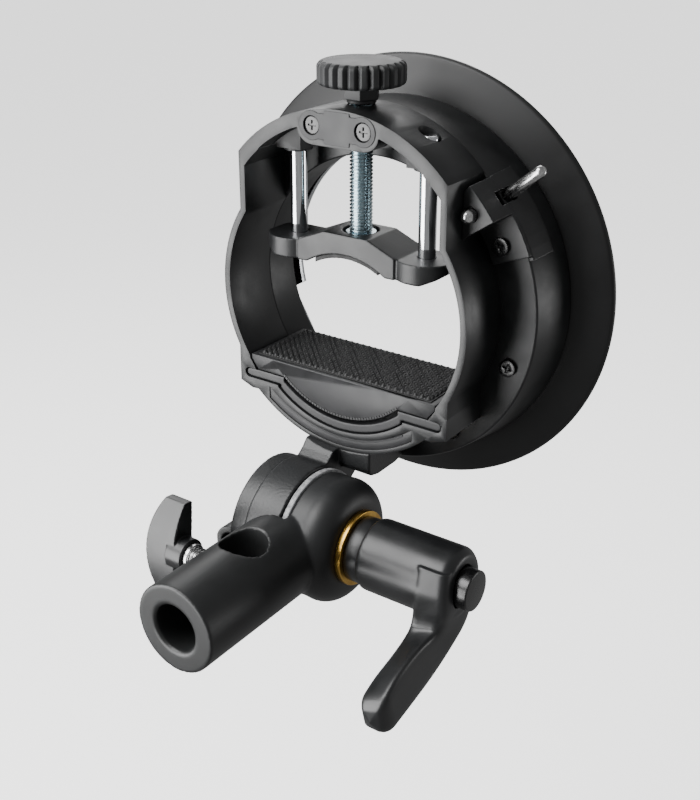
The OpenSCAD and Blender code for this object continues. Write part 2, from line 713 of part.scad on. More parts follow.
rear_frame();
frame_insert();
spring_strip();
pad_carrier();
carrier_screws();
grip_pad();
keeper_plate();
keeper_screws();
clamp_nut();
rod_bushes();
mount_ring();
ring_screws();
flange();
bayonet_ring();
bayonet_screws();
lock_cover();
lock_screw();
lock_plunger();
release_pin();
lock_spring();
clamp_jaw();
jaw_pad();
guide_rods();
rod_screws();
screw_clip();
clamp_screw();
knob_collar();
clamp_knob();
tilt_arm();
arm_screws();
side_plate();
tilt_bolt();
socket_body();
friction_washer();
brass_washer();
lever_core();
lever_handle();
lever_screw();
lever_spring();
wing_tip();
wing_thread();
wing_grip();
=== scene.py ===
"""Looks of the tilting flash bracket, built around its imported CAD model."""

import math
from types import SimpleNamespace

import bmesh
import bpy
import numpy as np
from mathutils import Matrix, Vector


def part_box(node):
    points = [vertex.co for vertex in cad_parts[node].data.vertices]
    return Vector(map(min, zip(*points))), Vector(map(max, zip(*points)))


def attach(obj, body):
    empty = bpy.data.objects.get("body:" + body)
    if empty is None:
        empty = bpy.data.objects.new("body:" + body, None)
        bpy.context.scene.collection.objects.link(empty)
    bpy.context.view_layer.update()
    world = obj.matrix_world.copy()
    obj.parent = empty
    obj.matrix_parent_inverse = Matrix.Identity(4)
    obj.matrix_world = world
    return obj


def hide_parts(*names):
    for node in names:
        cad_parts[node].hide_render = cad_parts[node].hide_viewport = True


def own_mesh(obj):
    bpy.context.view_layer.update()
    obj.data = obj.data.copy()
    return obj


bl_info = {
    "name": "Tilting flash bracket",
    "version": (1, 0, 0),
    "blender": (4, 5, 0),
    "location": "View3D > Sidebar > Bracket",
    "description": "Builds the visible pieces of a tilting flash bracket around its CAD model",
    "category": "Object",
}

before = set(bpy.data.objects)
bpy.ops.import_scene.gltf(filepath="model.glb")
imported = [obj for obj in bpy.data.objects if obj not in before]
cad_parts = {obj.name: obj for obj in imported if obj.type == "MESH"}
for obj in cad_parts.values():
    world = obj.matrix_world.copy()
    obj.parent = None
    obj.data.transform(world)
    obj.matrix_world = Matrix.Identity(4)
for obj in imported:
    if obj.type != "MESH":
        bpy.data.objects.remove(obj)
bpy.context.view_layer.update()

MM = 0.001
TURN = 2 * math.pi
SHARP_DEG = 32  # edges sharper than this stay sharp on machined pieces
AXES = {
    "x": (Vector((1, 0, 0)), Vector((0, 1, 0)), Vector((0, 0, 1))),
    "y": (Vector((0, 1, 0)), Vector((0, 0, 1)), Vector((1, 0, 0))),
    "z": (Vector((0, 0, 1)), Vector((1, 0, 0)), Vector((0, 1, 0))),
}


# ---- colours and nodes ---------------------------------------------------------


def linear(code):
    """Linear red, green and blue of an sRGB hex colour such as 2b2c2e."""
    parts = [int(code[i : i + 2], 16) / 255 for i in (0, 2, 4)]
    return tuple(c / 12.92 if c <= 0.04045 else ((c + 0.055) / 1.055) ** 2.4 for c in parts)


def add(tree, kind, settings=None, links=None):
    """Adds a node; settings go to its sockets or its own properties, links to its sockets."""
    node = tree.nodes.new(kind)
    for key, value in (settings or {}).items():
        if key in node.inputs:
            node.inputs[key].default_value = value
        else:
            setattr(node, key, value)
    for key, source in (links or {}).items():
        tree.links.new(source, node.inputs[key])
    return node


def surface(name):
    """A new material with its shader, its tree and the Object coordinates that its patterns read."""
    made = bpy.data.materials.new(name)
    made.use_nodes = True
    tree = made.node_tree
    shader = tree.nodes["Principled BSDF"]
    coords = add(tree, "ShaderNodeTexCoord").outputs["Object"]
    return made, tree, shader, coords


def ramp(tree, source, low, high, start, end):
    """Colour that goes from low to high while the source goes from start to end."""
    node = add(tree, "ShaderNodeValToRGB", links={"Fac": source})
    first, last = node.color_ramp.elements
    first.position, first.color = start, (*low, 1)
    last.position, last.color = end, (*high, 1)
    return node.outputs["Color"]


def spread(tree, source, low, high):
    """A number that goes from low to high over the middle of a noise's range."""
    return add(
        tree,
        "ShaderNodeMapRange",
        {"From Min": 0.3, "From Max": 0.7, "To Min": low, "To Max": high},
        {"Value": source},
    ).outputs["Result"]


def noise(tree, coords, size_mm, detail=3.0, rough=0.55):
    """Noise whose grains are about size_mm across."""
    return add(
        tree,
        "ShaderNodeTexNoise",
        {"Scale": 1 / (size_mm * MM), "Detail": detail, "Roughness": rough},
        {"Vector": coords},
    ).outputs["Fac"]


def bump(tree, height, depth_mm, below=None):
    """Bump of a real depth in millimetres, laid over another one."""
    links = {"Height": height}
    if below is not None:
        links["Normal"] = below
    return add(
        tree, "ShaderNodeBump", {"Strength": 1.0, "Distance": depth_mm * MM}, links
    ).outputs["Normal"]


def stretched(tree, coords, scale):
    """Coordinates stretched along the axes, for grain that runs one way."""
    return add(
        tree, "ShaderNodeMapping", {"vector_type": "POINT", "Scale": scale}, {"Vector": coords}
    ).outputs["Vector"]


def black_skin(name, deep, worn, roughness, grain_mm, grain_depth, blotch_mm, coat=0.0):
    """Dark moulded or coated surface: blotches of handling over a fine grain."""
    made, tree, shader, coords = surface(name)
    blotch = noise(tree, coords, blotch_mm, 5.0, 0.6)
    grain = noise(tree, coords, grain_mm, 2.0)
    colour = ramp(tree, blotch, linear(deep), linear(worn), 0.35, 0.72)
    tree.links.new(colour, shader.inputs["Base Color"])
    tree.links.new(spread(tree, blotch, *roughness), shader.inputs["Roughness"])
    tree.links.new(bump(tree, grain, grain_depth), shader.inputs["Normal"])
    shader.inputs["Coat Weight"].default_value = coat
    shader.inputs["Coat Roughness"].default_value = 0.25
    return made


def moulded_nylon():
    """Glass-filled nylon, moulded: deep grey-black with a fine spark-eroded grain and rubbed patches."""
    return black_skin("moulded_nylon", COLOURS.nylon, COLOURS.nylon_worn, (0.34, 0.5), 0.55, 0.02, 14)


def carrier_nylon():
    """The same nylon on the small flat faces, a little greyer where it is finely blasted."""
    return black_skin("carrier_nylon", "191a1b", "29292b", (0.42, 0.56), 0.4, 0.016, 9)


def matt_enamel():
    """Matt stoved enamel on the spun flange: nearly black, it drinks the light."""
    return black_skin("matt_enamel", "070708", "0e0f10", (0.4, 0.55), 0.5, 0.01, 30)


def powder_coat():
    """Powder coat on cast aluminium: satin black with an orange-peel skin."""
    return black_skin("powder_coat", COLOURS.casting, COLOURS.casting_worn, (0.34, 0.46), 1.0, 0.085, 20)


def smooth_coat():
    """Smooth satin lacquer on the turned barrel and the domed half."""
    return black_skin("smooth_coat", "181919", "232425", (0.38, 0.5), 0.6, 0.008, 26)


def lever_lacquer():
    """Satin lacquer on the die-cast lever and wing: smooth, with broad soft highlights."""
    return black_skin("lever_lacquer", "151617", "202122", (0.34, 0.48), 0.8, 0.012, 18, 0.15)


def knob_plastic():
    """Moulded knob plastic, a shade lighter and drier than the frame."""
    return black_skin("knob_plastic", "1e1f20", "303132", (0.45, 0.58), 0.35, 0.014, 8)


def black_oxide():
    """Black oxide on steel screws: oily black with a faint metal glint."""
    return black_skin("black_oxide", "060607", "101011", (0.2, 0.34), 0.3, 0.006, 2, 0.3)


def pad_rubber():
    """Soft rubber: dull, dusty on its raised points."""
    return black_skin("pad_rubber", "0d0d0e", "1a1a1b", (0.5, 0.7), 0.25, 0.02, 5)


def metal(name, dark, light, roughness, grain, depth, size_mm):
    """Bare metal with fine tool marks; grain stretches them along the axes."""
    made, tree, shader, coords = surface(name)
    marks = noise(tree, stretched(tree, coords, grain), size_mm, 3.0, 0.65)
    colour = ramp(tree, marks, linear(dark), linear(light), 0.3, 0.7)
    tree.links.new(colour, shader.inputs["Base Color"])
    tree.links.new(spread(tree, marks, *roughness), shader.inputs["Roughness"])
    tree.links.new(bump(tree, marks, depth), shader.inputs["Normal"])
    shader.inputs["Metallic"].default_value = 1.0
    return made


def hard_chrome():
    """Hard chrome on ground rods: mirror bright with faint lengthwise lines."""
    return metal("hard_chrome", "d5d7da", "f0f1f3", (0.05, 0.12), (1, 1, 0.05), 0.0015, 0.4)


def zinc_plate():
    """Blue-passivated zinc on the screw: cool grey with a green-blue cast."""
    return metal("zinc_plate", "a9bcc4", "cfdde2", (0.2, 0.3), (1, 1, 1), 0.002, 0.8)


def turned_steel():
    """Turned bright steel: silvery, with darker scratches round and along it."""
    return metal("turned_steel", "a3a3a4", "e2e2e1", (0.16, 0.3), (1, 3, 1), 0.002, 1.4)


def spring_wire():
    """Drawn spring wire: dark grey with a dull shine."""
    return metal("spring_wire", "6d6e72", "a4a6aa", (0.24, 0.38), (1, 1, 1), 0.004, 0.5)


def turned_brass():
    """Turned brass: warm gold, finely ringed, a little tarnished in its marks."""
    return metal("turned_brass", COLOURS.brass_dark, COLOURS.brass, (0.24, 0.34), (3, 0.12, 0.12), 0.003, 0.9)


def brushed_plate():
    """Brushed stainless plate on the bayonet: long fine lines."""
    return metal("brushed_plate", "9a9c9f", "d6d8da", (0.22, 0.36), (0.06, 1, 1), 0.004, 0.5)


def friction_disc():
    """Sintered friction disc: pale grey, mottled and dry."""
    made, tree, shader, coords = surface("friction_disc")
    speck = noise(tree, coords, 1.6, 4.0, 0.7)
    colour = ramp(tree, speck, linear("77787a"), linear("b7b8b9"), 0.36, 0.64)
    tree.links.new(colour, shader.inputs["Base Color"])
    tree.links.new(spread(tree, speck, 0.5, 0.75), shader.inputs["Roughness"])
    tree.links.new(bump(tree, speck, 0.05), shader.inputs["Normal"])
    return made


def pale_floor():
    """Plain pale floor of the stage, as even as paper."""
    made, tree, shader, coords = surface("pale_floor")
    shader.inputs["Base Color"].default_value = (*linear("f2f2f1"), 1)
    shader.inputs["Roughness"].default_value = 0.9
    shader.inputs["Emission Color"].default_value = (*linear("ffffff"), 1)
    shader.inputs["Emission Strength"].default_value = 1.5
    return made


FINISHES = {}


def finish(maker):
    """The material that a maker gives, made once."""
    if maker not in FINISHES:
        FINISHES[maker] = maker()
    return FINISHES[maker]


# ---- meshes ------------------------------------------------------------------------


def grid_faces(rows, columns, wrap_rows=False, wrap_columns=False):
    """Quads of a grid, as rows of four vertex numbers; either direction may close on itself."""
    i = np.arange(rows if wrap_rows else rows - 1)[:, None]
    j = np.arange(columns if wrap_columns else columns - 1)[None, :]
    i2, j2 = (i + 1) % rows, (j + 1) % columns
    corners = (i * columns + j, i2 * columns + j, i2 * columns + j2, i * columns + j2)
    return np.stack(np.broadcast_arrays(*corners), -1).reshape(-1, 4)


def put(name, data):
    """A new object of the scene that shows the given data."""
    made = bpy.data.objects.new(name, data)
    bpy.context.scene.collection.objects.link(made)
    return made


def mesh_object(name, points, faces, more=()):
    """A mesh object from arrays, with its doubles merged and its faces turned outwards; more holds
    faces that aren't quads."""
    mesh = bpy.data.meshes.new(name)
    places = np.asarray(points, float).reshape(-1, 3)
    mesh.from_pydata(places.tolist(), [], np.asarray(faces).tolist() + list(more))
    tidy(mesh)
    return put(name, mesh)


def tidy(mesh, turn=True):
    """Merges doubles, drops the faces that this empties, and turns the rest outwards."""
    shape = bmesh.new()
    shape.from_mesh(mesh)
    bmesh.ops.remove_doubles(shape, verts=shape.verts, dist=1e-6)
    bmesh.ops.dissolve_degenerate(shape, edges=shape.edges, dist=1e-7)
    if turn:
        bmesh.ops.recalc_face_normals(shape, faces=shape.faces)
    shape.to_mesh(mesh)
    shape.free()


def shaded(made, angle=None):
    """Smooth shading, split at edges sharper than the angle in degrees where one is given."""
    mesh = made.data
    mesh.polygons.foreach_set("use_smooth", np.ones(len(mesh.polygons), bool))
    if angle is not None:
        mesh.set_sharp_from_angle(angle=math.radians(angle))
    return made


def dress(made, maker, body, slot, *nodes):
    """Gives a piece its finish and its body, and hides the CAD nodes that it stands for; its slot is not
    used.
    """
    made.data.materials.clear()
    made.data.materials.append(finish(maker))
    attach(made, body)
    if nodes:
        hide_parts(*nodes)
    return made


def copy_of(node, name):
    """A merged copy of a CAD node's mesh."""
    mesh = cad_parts[node].data.copy()
    mesh.name = name
    tidy(mesh, turn=False)
    return put(name, mesh)


def baked(made):
    """Applies the modifiers of a piece to its mesh."""
    bpy.context.view_layer.update()
    seen = made.evaluated_get(bpy.context.evaluated_depsgraph_get())
    mesh = bpy.data.meshes.new_from_object(seen)
    made.modifiers.clear()
    made.data = mesh
    return made


def softened(made, voxel_mm, passes):
    """Remeshes a piece into even small quads and relaxes them, which rounds every edge as a casting's."""
    cells = made.modifiers.new("cells", "REMESH")
    cells.mode, cells.voxel_size = "VOXEL", voxel_mm * MM
    relax = made.modifiers.new("relax", "SMOOTH")
    relax.factor, relax.iterations = 0.5, passes
    return shaded(baked(made))


def cast(node, voxel_mm, passes, maker, body, slot):
    """A casting or moulding: the CAD node's own shape with rounded edges."""
    return dress(softened(copy_of(node, node + "_skin"), voxel_mm, passes), maker, body, slot, node)


def bevelled(node, edge_mm):
    """A copy of a CAD node with a narrow bevel along its edges."""
    made = copy_of(node, node + "_cut")
    edge = made.modifiers.new("edge", "BEVEL")
    edge.width, edge.segments = edge_mm * MM, 2
    edge.limit_method, edge.angle_limit = "ANGLE", math.radians(40)
    return baked(made)


def machined(node, edge_mm, maker, body, slot):
    """A machined piece: the CAD node's own shape with its edges broken."""
    return dress(shaded(bevelled(node, edge_mm), SHARP_DEG), maker, body, slot, node)


def rounded(profile, radius, steps=4, closed=True):
    """A profile with each corner replaced by a short quadratic curve of about that radius."""
    corners = np.asarray(profile, float)
    out = []
    count = len(corners)
    for k, corner in enumerate(corners):
        if not closed and k in (0, count - 1):
            out.append(corner[None])
            continue
        before, after = corners[k - 1] - corner, corners[(k + 1) % count] - corner
        reach = [min(radius, np.linalg.norm(side) * 0.45) for side in (before, after)]
        start = corner + before / np.linalg.norm(before) * reach[0]
        end = corner + after / np.linalg.norm(after) * reach[1]
        t = np.linspace(0, 1, steps + 1)[:, None]
        out.append((1 - t) ** 2 * start + 2 * t * (1 - t) * corner + t**2 * end)
    return np.concatenate(out)


def placed(radius, height, angle, origin, axis):
    """Points at a radius and angle round an axis and at a height along it, in metres."""
    along, across, up = (np.array(v) for v in AXES[axis])
    r, h, a = (np.asarray(v, float)[..., None] for v in (radius, height, angle))
    return (np.array(origin) + h * along + r * (np.cos(a) * across + np.sin(a) * up)) * MM


def lathe(name, profile, origin, axis, closed=True, segments=160):
    """A turned piece: a profile of radius and height swept round an axis. An open one ends on the axis."""
    radius, height = np.asarray(profile, float).T
    angle = np.linspace(0, TURN, segments, endpoint=False)
    points = placed(radius[:, None], height[:, None], angle[None, :], origin, axis)
    return mesh_object(name, points, grid_faces(len(radius), segments, closed, True))


def screw_thread(name, radius, pitch, start, end, origin, axis, depth=0.61):
    """A threaded rod with flat ends: radius less a triangle wave of (height / pitch - angle / turn)."""
    segments, per_turn = 64, 18
    rows = int((end - start) / pitch * per_turn)
    height = np.linspace(start, end, rows)[:, None]
    angle = np.linspace(0, TURN, segments, endpoint=False)[None, :]
    phase = (height / pitch - angle / TURN) % 1
    wave = np.clip(np.abs(phase - 0.5) * 2.5 - 0.12, 0, 1)
    fade = np.clip(np.minimum(height - start, end - height) / pitch, 0, 1)
    grid = radius - depth * pitch * (1 - wave * fade) * np.ones_like(angle)
    heights = height * np.ones_like(angle)
    grid = np.concatenate([np.zeros((1, segments)), grid, np.zeros((1, segments))])
    heights = np.concatenate([heights[:1], heights, heights[-1:]])
    points = placed(grid, heights, angle * np.ones_like(grid), origin, axis)
    return mesh_object(name, points, grid_faces(len(grid), segments, False, True))


def coil(name, radius, wire, turns, start, end, origin, axis):
    """A coil spring: a circle of the wire carried along a helix, its end turns closed up flat."""
    rows, segments = int(turns * 28), 10
    t = np.linspace(0, 1, rows)
    ease = np.clip((t * turns - 1) / (turns - 2), 0, 1)
    height = start + wire + (end - start - 2 * wire) * ease
    turn = t * turns * TURN
    phi = np.linspace(0, TURN, segments, endpoint=False)
    points = placed(
        radius + wire * np.cos(phi)[None, :],
        height[:, None] + wire * np.sin(phi)[None, :],
        turn[:, None] * np.ones(segments)[None, :],
        origin,
        axis,
    )
    ends = np.concatenate([points[:1].mean(1, keepdims=True), points[-1:].mean(1, keepdims=True)])
    caps = [np.repeat(ends[i : i + 1], segments, 1) for i in (0, 1)]
    points = np.concatenate([caps[0], points, caps[1]])
    return mesh_object(name, points, grid_faces(rows + 2, segments, False, True))


def centre(node):
    """Middle of a CAD node's box, in millimetres."""
    low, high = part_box(node)
    return np.array((low + high) / 2) / MM


def low_high(node):
    """Lowest and highest corner of a CAD node's box, in millimetres."""
    low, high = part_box(node)
    return np.array(low) / MM, np.array(high) / MM


# ---- places taken from the frame ----------------------------------------------------

FLANGE_LOW, FLANGE_HIGH = low_high("flange")
RING_Z = centre("flange")[2]
FLANGE_R = (FLANGE_HIGH[2] - FLANGE_LOW[2]) / 2
RING_Y = low_high("rear_frame")[0][1]
MOUNT_LOW, MOUNT_HIGH = low_high("mount_ring")
MOUNT_R = (MOUNT_HIGH[2] - MOUNT_LOW[2]) / 2
SCREW = centre("clamp_screw")
HUB = np.array([0, centre("friction_washer")[1], 0])
RING = np.array([0, RING_Y, RING_Z])
TUBE_BORE_R, TUBE_R = 48.2, 50.6  # flash tube inside and outside
SEAT_R = 62.2  # opening of the flange's seat
LEVER_HUB_R = 12.8
POCKET_R, POCKET_DEPTH = 7.3, 9  # pocket of the lever screw's head
CAP_R, CAP_X = 7, 58.5  # lever screw's head and its underside
SCREW_R = 4.0  # M8
CLEAR_R = 4.4  # hole of the washers round the tilt bolt

# ---- stage values --------------------------------------------------------------------

LIGHTS = {  # place and size in metres, power in watts
    "key_box": ((-0.62, -0.8, -0.05), 0.9, 26),
    "high_box": ((-0.45, -0.5, 0.8), 0.7, 16),
    "back_box": ((-0.45, 0.65, 0.6), 0.6, 4),
    "right_strip": ((0.8, 0.75, -0.1), 0.3, 1.5),
}
LIGHT_AIM = Vector((0, 0.04, 0.06))
WORLD_STRENGTH = 0.3
FLOOR_HALF, FLOOR_Z = 9, -0.3
CAMERA_PLACE = (0.2195, -0.2497, 0.2194)
CAMERA_DOWN, CAMERA_ROUND = 21.69, 35.29  # degrees
CAMERA_LENS, SENSOR_WIDTH, CAMERA_SHIFT = 52.6, 36, -0.0837


# ---- properties ----------------------------------------------------------------------


class BracketSizes(bpy.types.PropertyGroup):
    """Sizes that a user would change."""

    flutes: bpy.props.IntProperty(
        name="Knob flutes", description="Grooves round the knob", default=24, min=12
    )
    flute_depth: bpy.props.FloatProperty(
        name="Flute depth", description="Depth of a groove in the knob", default=1.25 * MM, unit="LENGTH"
    )
    thread_pitch: bpy.props.FloatProperty(
        name="Thread pitch", description="Pitch of the M8 screws", default=1.25 * MM, unit="LENGTH"
    )
    stud_pitch: bpy.props.FloatProperty(
        name="Stud pitch", description="Spacing of the rubber pad's points", default=1.85 * MM, unit="LENGTH"
    )
    stud_height: bpy.props.FloatProperty(
        name="Stud height", description="Height of the rubber pad's points", default=1.0 * MM, unit="LENGTH"
    )


class BracketColours(bpy.types.PropertyGroup):
    """Colours that a user would change, as sRGB hex values."""

    nylon: bpy.props.StringProperty(name="Nylon", description="Frame plastic", default="121314")
    nylon_worn: bpy.props.StringProperty(
        name="Worn nylon", description="Rubbed frame plastic", default="202122"
    )
    casting: bpy.props.StringProperty(name="Casting", description="Powder coat", default="1a1b1c")
    casting_worn: bpy.props.StringProperty(name="Worn casting", description="Rubbed coat", default="262728")
    brass: bpy.props.StringProperty(name="Brass", description="Bright brass", default="dcb35c")
    brass_dark: bpy.props.StringProperty(
        name="Dark brass", description="Brass in its marks", default="bb9144"
    )


COLOURS = SimpleNamespace()  # main() fills it from the properties


# ---- pieces --------------------------------------------------------------------------


class BRACKET_OT_frame(bpy.types.Operator):
    """Rear frame of the clamp ring with its insert, strip, carrier and keeper"""

    bl_idname = "bracket.frame"
    bl_label = "Clamp frame"

    def execute(self, context):
        machined("rear_frame", 0.45, moulded_nylon, "head", "moulded_black")
        ridges = teeth(49.1, 0, reach=33, count=74, face=low_high("frame_insert")[0][1])
        toothed("frame_insert", 0.3, ridges)
        cast("spring_strip", 0.3, 3, carrier_nylon, "head", "moulded_black")
        ridges = teeth(35.9, -5, reach=42, count=44, face=low_high("pad_carrier")[0][1])
        toothed("pad_carrier", 0.4, ridges)
        cast("keeper_plate", 0.16, 2, carrier_nylon, "head", "moulded_black")
        machined("clamp_nut", 0.3, turned_brass, "head", "brass")
        machined("rod_bushes", 0.2, knob_plastic, "head", "knob_black")
        return {"FINISHED"}


def teeth(radius, rise, reach, count, face):
    """A row of small blocks on a face, along an arc about the ring's axis raised by rise; reach is in
    degrees to each side of straight down."""
    angle = np.radians(np.linspace(-90 - reach, -90 + reach, count))[:, None, None]
    half_long, half_wide, half_high, sunk = 0.42, 0.4, 0.28, 0.1
    corner = np.array([(x, y, z) for x in (-1, 1) for y in (-1, 1) for z in (-1, 1)])[None]
    out = radius + half_long * corner[..., 2:]
    side = half_wide * corner[..., :1]
    points = np.concatenate([
        out * np.cos(angle) - side * np.sin(angle),
        face + sunk + half_high * corner[..., 1:2] + 0 * angle,
        RING_Z + rise + out * np.sin(angle) + side * np.cos(angle),
    ], -1)
    block = np.array([
        (0, 1, 3, 2), (4, 6, 7, 5), (0, 4, 5, 1), (2, 3, 7, 6), (0, 2, 6, 4), (1, 5, 7, 3),
    ])
    faces = block[None] + 8 * np.arange(count)[:, None, None]
    return mesh_object("teeth", points * MM, faces.reshape(-1, 4))


def toothed(node, edge_mm, ridges):
    """A moulding with a row of small teeth on its rear face."""
    made = joined(node + "_toothed", [bevelled(node, edge_mm), ridges])
    return dress(shaded(made, SHARP_DEG), carrier_nylon, "head", "moulded_black", node)


class BRACKET_OT_front(bpy.types.Operator):
    """Mount ring, flared flange and bayonet plate"""

    bl_idname = "bracket.front"
    bl_label = "Flange and mount"

    def execute(self, context):
        mount_ring()
        flange()
        machined("bayonet_ring", 0.3, brushed_plate, "head", "bayonet_steel")
        return {"FINISHED"}


def mount_ring():
    """The mount ring as one turned shell: its section is a thin-walled channel, open to the front."""
    back, front = MOUNT_LOW[1] - RING_Y, MOUNT_HIGH[1] - RING_Y
    taper, wall, floor, recess = 2.5, 2.4, 2.6, 5
    step = MOUNT_R - taper
    section = [
        (TUBE_BORE_R, back), (step, back), (MOUNT_R, front), (MOUNT_R - wall, front),
        (step - wall, back + floor), (TUBE_R, back + floor), (TUBE_R, front - recess),
        (TUBE_BORE_R, front - recess),
    ]
    made = lathe("mount_ring_shell", rounded(section, 0.7), RING, "y", segments=240)
    return dress(shaded(made, 40), moulded_nylon, "head", "moulded_black", "mount_ring")


def flange():
    """The flange as a turned dish: a flat seat, a flared wall and a rolled lip."""
    back, front = FLANGE_LOW[1] - RING_Y, FLANGE_HIGH[1] - RING_Y
    wall, lip, sheet = MOUNT_R + 0.2, 1.6, 2.5
    edge = FLANGE_R - lip
    turn = np.linspace(-0.42 * math.pi, 0.9 * math.pi, 14)
    rolled = np.stack([edge + lip * np.cos(turn), front - lip + lip * np.sin(turn)], 1)
    outer = [(SEAT_R, back), (wall, back), (edge - 2.5, back + 3.2), tuple(rolled[0])]
    inner = [tuple(rolled[-1]), (wall - 0.8, back + sheet), (SEAT_R, back + sheet)]
    outer, inner = rounded(outer, 2.2, closed=False), rounded(inner, 2.0, closed=False)
    section = np.concatenate([outer, rolled[1:-1], inner])
    made = lathe("flange_dish", section, RING, "y", segments=320)
    return dress(shaded(made, 50), matt_enamel, "head", "flange_black", "flange")


class BRACKET_OT_pad(bpy.types.Operator):
    """Rubber pad with its rows of points"""

    bl_idname = "bracket.pad"
    bl_label = "Rubber pad"

    def execute(self, context):
        grip_pad(context.scene.bracket_sizes)
        return {"FINISHED"}


def grip_pad(sizes):
    """The pad's top is a height over x and y: stud height times the smaller of two triangle waves
    that run along the diagonals, flat in a narrow border; its skirt drops to the pad's base."""
    low, high = low_high("grip_pad")
    pitch, height = sizes.stud_pitch / MM, sizes.stud_height / MM
    border, per_pitch = 0.5, 8
    x = np.linspace(low[0], high[0], int((high[0] - low[0]) / pitch * per_pitch))[:, None]
    y = np.linspace(low[1], high[1], int((high[1] - low[1]) / pitch * per_pitch))[None, :]
    wave = [np.abs(((x + sign * y) / pitch / math.sqrt(2)) % 1 - 0.5) * 2 for sign in (1, -1)]
    inside = np.minimum(
        np.minimum(x - low[0], high[0] - x) * np.ones_like(y),
        np.minimum(y - low[1], high[1] - y) * np.ones_like(x),
    )
    studs = np.minimum(np.minimum(*wave) * 1.6, 1) * np.clip((inside - border) * 4, 0, 1)
    top = high[2] - height + height * studs
    flat = np.stack(np.broadcast_arrays(x, y, top), -1)
    outer = np.pad(flat, ((1, 1), (1, 1), (0, 0)), mode="edge")
    rim = np.ones(outer.shape[:2], bool)
    rim[1:-1, 1:-1] = False
    outer[rim, 2] = low[2]
    rows, columns = outer.shape[:2]
    base = np.concatenate([
        np.arange(columns), np.arange(1, rows) * columns + columns - 1,
        (rows - 1) * columns + np.arange(columns - 2, -1, -1), np.arange(rows - 2, 0, -1) * columns,
    ])
    made = mesh_object("studded_pad", outer * MM, grid_faces(rows, columns), [base.tolist()])
    return dress(shaded(made, 25), pad_rubber, "head", "rubber_black", "grip_pad")


class BRACKET_OT_clamp(bpy.types.Operator):
    """Jaw, guide rods, clamp screw and knob"""

    bl_idname = "bracket.clamp"
    bl_label = "Flash clamp"

    def execute(self, context):
        sizes = context.scene.bracket_sizes
        cast("clamp_jaw", 0.35, 6, moulded_nylon, "jaw", "moulded_black")
        cast("jaw_pad", 0.25, 2, pad_rubber, "jaw", "rubber_black")
        guide_rods()
        machined("screw_clip", 0.1, spring_wire, "jaw", "spring_steel")
        clamp_screw(sizes)
        cast("knob_collar", 0.16, 2, knob_plastic, "screw", "knob_black")
        clamp_knob(sizes)
        return {"FINISHED"}


def guide_rods():
    """Two ground rods as one piece: cylinders with chamfered ends."""
    low, high = low_high("guide_rods")
    radius = (high[1] - low[1]) / 2
    section = rounded(
        [(0, low[2]), (radius, low[2]), (radius, high[2] - 0.8), (radius - 0.6, high[2]), (0, high[2])],
        0.2, closed=False,
    )
    y = centre("guide_rods")[1]
    parts = [lathe("rod", section, (x, y, 0), "z", False, 64) for x in (low[0] + radius, high[0] - radius)]
    made = joined("chrome_rods", parts)
    return dress(shaded(made, 40), hard_chrome, "jaw", "chrome_rods", "guide_rods")


def joined(name, parts):
    """Several pieces as one mesh object."""
    shape = bmesh.new()
    for part in parts:
        shape.from_mesh(part.data)
    mesh = bpy.data.meshes.new(name)
    shape.to_mesh(mesh)
    shape.free()
    for part in parts:
        bpy.data.objects.remove(part)
    return put(name, mesh)


def clamp_screw(sizes):
    """M8 screw with its thread, and the thrust shoulder that bears in the jaw's recess."""
    low, high = low_high("clamp_screw")
    origin = (SCREW[0], SCREW[1], 0)
    thread = screw_thread("thread", SCREW_R, sizes.thread_pitch / MM, low[2], high[2], origin, "z")
    start, end = low[2] + 4.7, low[2] + 6.1
    ring = rounded([(3.3, start), (5.4, start), (5.4, end), (3.3, end)], 0.25)
    made = joined("zinc_screw", [thread, lathe("shoulder", ring, origin, "z", True, 64)])
    return dress(shaded(made), zinc_plate, "screw", "zinc_steel", "clamp_screw")


def clamp_knob(sizes):
    """The knob: a turned section whose side is cut by flutes, radius less depth times a narrow sine lobe."""
    low, high = low_high("clamp_knob")
    radius = (high[0] - low[0]) / 2 + 0.05
    height = high[2] - low[2]
    corners = [
        (0, 0), (radius - 1.4, 0), (radius, 0.9), (radius, height - 1.7), (radius - 1.6, height - 0.5),
        (radius * 0.5, height - 0.12), (0, height),
    ]
    section = rounded(corners, 0.9, 6, closed=False)
    fine = [np.linspace(a, b, 5, endpoint=False) for a, b in zip(section[:-1], section[1:])]
    section = np.concatenate([*fine, section[-1:]])
    angle = np.linspace(0, TURN, sizes.flutes * 22, endpoint=False)[None, :]
    lobe = np.abs(np.sin(angle * sizes.flutes / 2))
    land = 0.78
    groove = np.clip((land - lobe) / land, 0, 1) ** 0.8
    reach = np.clip((section[:, 0] - radius + 2.2) / 1.4, 0, 1)[:, None]
    depth = sizes.flute_depth / MM
    points = placed(
        section[:, :1] - depth * groove * reach,
        section[:, 1:] + low[2] + 0 * angle,
        angle + 0 * section[:, :1],
        (SCREW[0], SCREW[1], 0),
        "z",
    )
    made = mesh_object("fluted_knob", points, grid_faces(len(section), angle.size, False, True))
    return dress(shaded(made, 45), knob_plastic, "screw", "knob_black", "clamp_knob")


class BRACKET_OT_lock(bpy.types.Operator):
    """Accessory lock: cover, plunger, release pin and spring"""

    bl_idname = "bracket.lock"
    bl_label = "Accessory lock"

    def execute(self, context):
        cast("lock_cover", 0.25, 2, moulded_nylon, "head", "moulded_black")
        machined("lock_plunger", 0.15, turned_steel, "plunger", "bright_steel")
        machined("release_pin", 0.2, turned_steel, "plunger", "bright_steel")
        low, high = low_high("lock_spring")
        middle = (low + high) / 2
        length = 8.5
        origin = (middle[0], 0, middle[2])
        made = coil("lock_coil", 2.35, 0.28, 7, low[1], low[1] + length, origin, "y")
        dress(shaded(made), spring_wire, "head", "spring_steel", "lock_spring")
        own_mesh(made)
        return {"FINISHED"}


